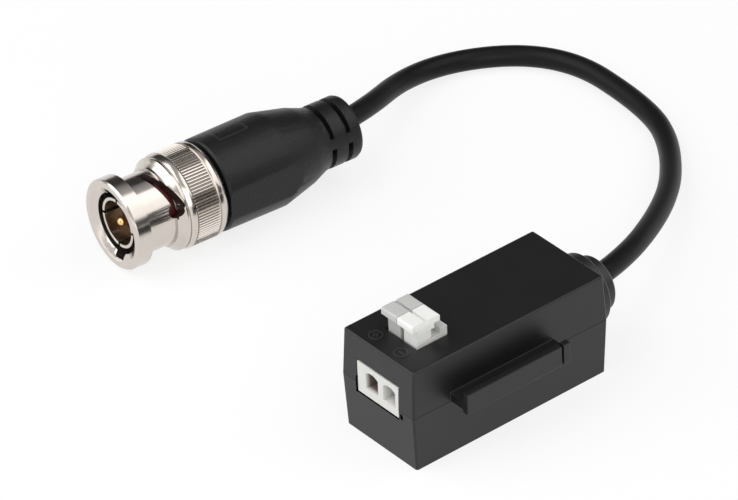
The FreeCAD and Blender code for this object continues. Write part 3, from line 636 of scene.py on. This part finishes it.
class BALUN_OT_stage(bpy.types.Operator):
    """Makes the floor, the lamps and the camera"""

    bl_idname = "balun.stage"
    bl_label = "Stage"

    def execute(self, context):
        floor = bpy.data.meshes.new("floor")
        half = FLOOR_HALF
        corners = [(-half, -half, 0), (half, -half, 0), (half, half, 0), (-half, half, 0)]
        floor.from_pydata(corners, [], [(0, 1, 2, 3)])
        floor.materials.append(self.floor_material())
        plane = bpy.data.objects.new("floor", floor)
        context.scene.collection.objects.link(plane)
        self.light_studio(context)
        self.place_camera(context)
        return {"FINISHED"}

    def floor_material(self):
        """A white floor that keeps a soft shadow and shows white to the camera and in the metal."""
        ground = Surface("floor", (0.86, 0.86, 0.86), 0.6)
        rays = ground.node("ShaderNodeLightPath", {}, {})
        seen = (rays[0] + rays[3] + rays[6]) * FLOOR_GLOW
        glow = ground.node("ShaderNodeEmission", {}, {"Color": (1, 1, 1, 1), "Strength": 1.0})[0]
        lit = Field(ground, ground.shader.outputs["BSDF"])
        blend = ground.node("ShaderNodeMixShader", {}, {0: seen, 1: lit, 2: glow})[0]
        ground.tree.links.new(blend.socket, ground.output.inputs["Surface"])
        ground.material.cycles.emission_sampling = "NONE"
        return ground.material

    def light_studio(self, context):
        """A dim room with a soft window behind the object, and two large lamps."""
        world = bpy.data.worlds.new("studio")
        context.scene.world = world
        world.use_nodes = True
        room = Graph(world.node_tree)
        toward = room.node("ShaderNodeTexCoord", {}, {})[0]
        facing = room.share(toward, WINDOW_TOWARD)
        window = room.ramp(facing, math.cos(WINDOW_EDGE), math.cos(WINDOW_CORE))
        forward, height = room.node("ShaderNodeSeparateXYZ", {}, {0: toward})[1:]
        ceiling = room.ramp(height, *CEILING_FADE)
        horizon = 1 - room.ramp(height, *HORIZON_FADE)
        front_wall = 1 - room.ramp(forward, *FRONT_WALL_FADE)
        room_light = window * WINDOW_LIGHT + ceiling * CEILING_LIGHT + horizon * HORIZON_LIGHT
        room_light = room_light + front_wall * FRONT_WALL_LIGHT + WALL_LIGHT
        camera = room.node("ShaderNodeLightPath", {}, {})[0]
        light = camera + (1 - camera) * room_light
        sky = room.node("ShaderNodeBackground", {}, {"Color": (1, 1, 1, 1), "Strength": light})[0]
        room.node("ShaderNodeOutputWorld", {}, {"Surface": sky})
        for name, values in LAMPS.items():
            self.lamp(context, name, **values)

    def lamp(self, context, name, place, size, power):
        """A square lamp aimed at the object."""
        data = bpy.data.lights.new(name, "AREA")
        data.size = size
        data.energy = power
        lamp = bpy.data.objects.new(name, data)
        lamp.location = place
        lamp.rotation_euler = (LAMP_AIM - Vector(place)).to_track_quat("-Z", "Y").to_euler()
        context.scene.collection.objects.link(lamp)

    def place_camera(self, context):
        """The photograph's view, solved from the housing's edges."""
        azimuth, elevation, roll = (math.radians(a) for a in (AZIMUTH, ELEVATION, ROLL))
        ahead = Vector((-math.sin(azimuth) * math.cos(elevation), math.cos(azimuth) * math.cos(elevation),
                        -math.sin(elevation)))
        level = ahead.cross(Vector((0, 0, 1))).normalized()
        upright = level.cross(ahead)
        right = level * math.cos(roll) + upright * math.sin(roll)
        up = upright * math.cos(roll) - level * math.sin(roll)
        aim = Vector((house_x, middle, AIM_HEIGHT))
        camera_data = bpy.data.cameras.new("camera")
        camera_data.sensor_width = 36
        camera_data.lens = LENS_PIXELS / PHOTO_WIDTH * camera_data.sensor_width
        camera = bpy.data.objects.new("camera", camera_data)
        turn = Matrix((right, up, -ahead)).transposed()
        camera.rotation_euler = turn.to_euler()
        camera.location = aim - ahead * CAMERA_DISTANCE + right * AIM_RIGHT + up * AIM_UP
        camera_data.clip_start = 0.05
        camera_data.clip_end = 20
        context.scene.collection.objects.link(camera)
        context.scene.camera = camera


class BALUN_OT_cable(bpy.types.Operator):
    """Makes the lead as one smooth curve"""

    bl_idname = "balun.cable"
    bl_label = "Lead"

    def execute(self, context):
        route = cable_route()
        line = bpy.data.curves.new("cable", "CURVE")
        line.dimensions = "3D"
        spline = line.splines.new("NURBS")
        spline.points.add(len(route) - 1)
        for point, place in zip(spline.points, route):
            point.co = (*place, 1)
        spline.use_endpoint_u = True
        spline.order_u = 3
        line.resolution_u = 16
        line.bevel_depth = context.scene.balun.cable_diameter / 2
        line.bevel_resolution = 7
        line.use_fill_caps = True
        line.materials.append(Finishes.get("jacket"))
        lead = bpy.data.objects.new("lead", line)
        context.scene.collection.objects.link(lead)
        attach(lead, BODY)
        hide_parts("cable")
        plug = [bpy.data.objects[shape[0]] for shape in PLUG_SHAPES.values()]
        plug += [bpy.data.objects["grip"]] + [frame["nodes"][name] for name in PLUG_HIDDEN]
        return {"FINISHED"}


# Seen pieces of the wire terminal and the plug: name, finish, edge rounding and body
TERMINAL_SHAPES = {
    "terminal_body": ("terminal_block", "terminal", 0.08 * MM, BODY),
    "button_left": ("left_key", "button_grey", 0.1 * MM, "left_button"),
    "button_right": ("right_key", "button_white", 0.1 * MM, "right_button"),
}
PLUG_SHAPES = {
    "boot": ("boot_shell", "boot", 0.2 * MM, BODY),
    "plug_body": ("inner_shell", "nickel", 0.06 * MM, BODY),
    "contact_sleeve": ("split_sleeve", "nickel", 0.05 * MM, BODY),
    "plug_gasket": ("sealing_ring", "gasket", 0.1 * MM, BODY),
    "plug_dielectric": ("insulating_bead", "dielectric", 0.05 * MM, BODY),
    "centre_pin": ("pin", "gold", 0.2 * MM, BODY),
    "coupling_nut": ("bayonet_nut", "nickel", 0.15 * MM, "nut"),
}
PLUG_HIDDEN = {
    "cable_core": "core_insulation",
    "crimp_ferrule": "nickel",
    "wave_washer": "spring_steel",
    "thrust_washer": "spring_steel",
    "retaining_ring": "spring_steel",
}
INNER_FINISHES = {
    "circuit_board": "board",
    "ferrite_core": "ferrite",
    "winding_left": "copper",
    "winding_right": "copper",
    "surge_arrester": "arrester",
    "chip_capacitor": "chip_tan",
    "chip_resistor": "chip_black",
    "signal_lead": "lead_red",
    "ground_lead": "lead_black",
    "contact_left": "tin",
    "contact_right": "tin",
    "clamp_spring_left": "spring_steel",
    "clamp_spring_right": "spring_steel",
}


class BALUN_OT_housing(bpy.types.Operator):
    """Finishes the two housing halves and the strain relief"""

    bl_idname = "balun.housing"
    bl_label = "Housing"

    def execute(self, context):
        edge = context.scene.balun.edge_round
        finish = Finishes.get("housing")
        softened("lower_half", "housing_base", edge, finish, BODY)
        softened("upper_half", "housing_cover", edge, finish, BODY)
        softened("strain_relief", "cable_gland", edge, Finishes.get("gland"), BODY)
        self.polarity_signs()
        self.window_gaps()
        return {"FINISHED"}

    def polarity_signs(self):
        """A raised plus and a raised minus, each in a ring, in front of the buttons."""
        shape = bmesh.new()
        low = house_top - SIGN_HEIGHT
        high = house_top + SIGN_HEIGHT
        half = SIGN_STROKE / 2
        arm = SIGN_RADIUS * 0.55
        for place, upright in zip(SIGN_PLACES, (True, False)):
            x = house_x + place[0]
            y = middle + place[1]
            turns = [math.tau * step / 32 for step in range(32)]
            rings = [[(x + radius * math.cos(a), y + radius * math.sin(a)) for a in turns]
                     for radius in (SIGN_RADIUS - SIGN_STROKE, SIGN_RADIUS)]
            strip(shape, *rings, low, high, True)
            near, far = ([(x - arm, y + edge), (x + arm, y + edge)] for edge in (-half, half))
            strip(shape, near, far, low, high, False)
            if upright:
                left, right = ([(x + edge, y - arm), (x + edge, y + arm)] for edge in (-half, half))
                strip(shape, left, right, low, high, False)
        mesh = closed_mesh("polarity_signs", shape)
        finish_object("polarity_signs", mesh, Finishes.get("signs"), BODY)

    def window_gaps(self):
        """Black strips painted as the shade in the gap under and left of the terminal's window, and a black
        patch painted as the shade in the hole beside its lower corner.
        """
        shape = bmesh.new()
        left = house_x - OPENING_HALF
        right = house_x + OPENING_HALF
        low = OPENING_SILL - OPENING_GAP
        gaps = (
            (house_x + PIT_PLACE[0] - PIT_HALF[0], house_x + PIT_PLACE[0] + PIT_HALF[0],
             PIT_PLACE[1] - PIT_HALF[1], PIT_PLACE[1] + PIT_HALF[1]),
            (left - OPENING_GAP, right, low, OPENING_SILL),
            (left - OPENING_GAP, left, low, parting + 1 * MM),
        )
        for x0, x1, z0, z1 in gaps:
            front = house_front + END_TAPER * (parting - z1) / parting - 0.005 * MM
            back = front + GAP_DEPTH
            strip(shape, [(x0, front), (x1, front)], [(x0, back), (x1, back)], z0, z1, False)
        mesh = closed_mesh("window_gaps", shape)
        finish_object("window_gaps", mesh, Finishes.get("painted_gap_shade"), BODY)


class BALUN_OT_terminal(bpy.types.Operator):
    """Finishes the wire terminal and its two push buttons"""

    bl_idname = "balun.terminal"
    bl_label = "Wire terminal"

    def execute(self, context):
        for node, (name, finish, edge, body) in TERMINAL_SHAPES.items():
            softened(name, node, edge, Finishes.get(finish), body)
        return {"FINISHED"}


class BALUN_OT_plug(bpy.types.Operator):
    """Finishes the plug's pieces"""

    bl_idname = "balun.plug"
    bl_label = "Bayonet plug"

    def execute(self, context):
        for node, (name, finish, edge, body) in PLUG_SHAPES.items():
            softened(name, node, edge, Finishes.get(finish), body)
        for node, finish in PLUG_HIDDEN.items():
            dress(node, Finishes.get(finish))
        self.paint_slot_shade(bpy.data.objects["bayonet_nut"].data)
        self.grip(context)
        return {"FINISHED"}

    def paint_slot_shade(self, mesh):
        """Paints the steep walls of the slots in the nut dark red, as painted shade in the slots."""
        mesh.materials.append(Finishes.get("slot_painted_shade"))
        for face in mesh.polygons:
            out = face.center - rim
            along = out.dot(plug_axis)
            radial = (out - plug_axis * along).normalized()
            steep = abs(face.normal.dot(radial)) < 0.4 and abs(face.normal.dot(plug_axis)) < 0.992
            if steep and SLOT_START < along < SLOT_END:
                face.material_index = 1

    def grip(self, context):
        """The ring of fine ribs round the coupling nut."""
        look = context.scene.balun
        pitch = math.tau * GRIP_ROOT / look.rib_count
        values = {"Ribs": look.rib_count, "Root radius": GRIP_ROOT, "Height": GRIP_CREST - GRIP_ROOT,
                  "Width": pitch * look.rib_width, "Length": GRIP_END - GRIP_START,
                  "Finish": Finishes.get("nickel")}
        mesh = grown("grip", rib_tree(), values)
        centre = rim + plug_axis * (GRIP_START + GRIP_END) / 2
        turned = Matrix((plug_side, plug_axis, Vector((0, 0, 1)))).transposed().to_4x4()
        mesh.transform(Matrix.Translation(centre) @ turned)
        finish_object("grip", mesh, Finishes.get("nickel"), "nut")


class BALUN_OT_inside(bpy.types.Operator):
    """Finishes the pieces inside the housing"""

    bl_idname = "balun.inside"
    bl_label = "Inner pieces"

    def execute(self, context):
        for node, finish in INNER_FINISHES.items():
            dress(node, Finishes.get(finish))
        return {"FINISHED"}


OPERATORS = (
    BALUN_OT_stage,
    BALUN_OT_cable,
    BALUN_OT_housing,
    BALUN_OT_terminal,
    BALUN_OT_plug,
    BALUN_OT_inside,
)


class BALUN_PT_panel(bpy.types.Panel):
    """Lists the balun's sizes, colours and pieces"""

    bl_label = "Video balun"
    bl_idname = "BALUN_PT_panel"
    bl_space_type = "VIEW_3D"
    bl_region_type = "UI"
    bl_category = "Balun"

    def draw(self, context):
        for name in BalunLook.__annotations__:
            self.layout.prop(context.scene.balun, name)
        for operator in OPERATORS:
            self.layout.operator(operator.bl_idname)


CLASSES = (BalunLook, *OPERATORS, BALUN_PT_panel)


def register():
    for cls in CLASSES:
        bpy.utils.register_class(cls)
    bpy.types.Scene.balun = PointerProperty(type=BalunLook)


def unregister():
    del bpy.types.Scene.balun
    for cls in reversed(CLASSES):
        bpy.utils.unregister_class(cls)


def main():
    register()
    bpy.context.scene.view_settings.view_transform = "Standard"
    bpy.ops.balun.stage()
    bpy.ops.balun.plug()
    bpy.ops.balun.cable()
    bpy.ops.balun.housing()
    bpy.ops.balun.terminal()
    bpy.ops.balun.inside()


if __name__ == "__main__":
    main()
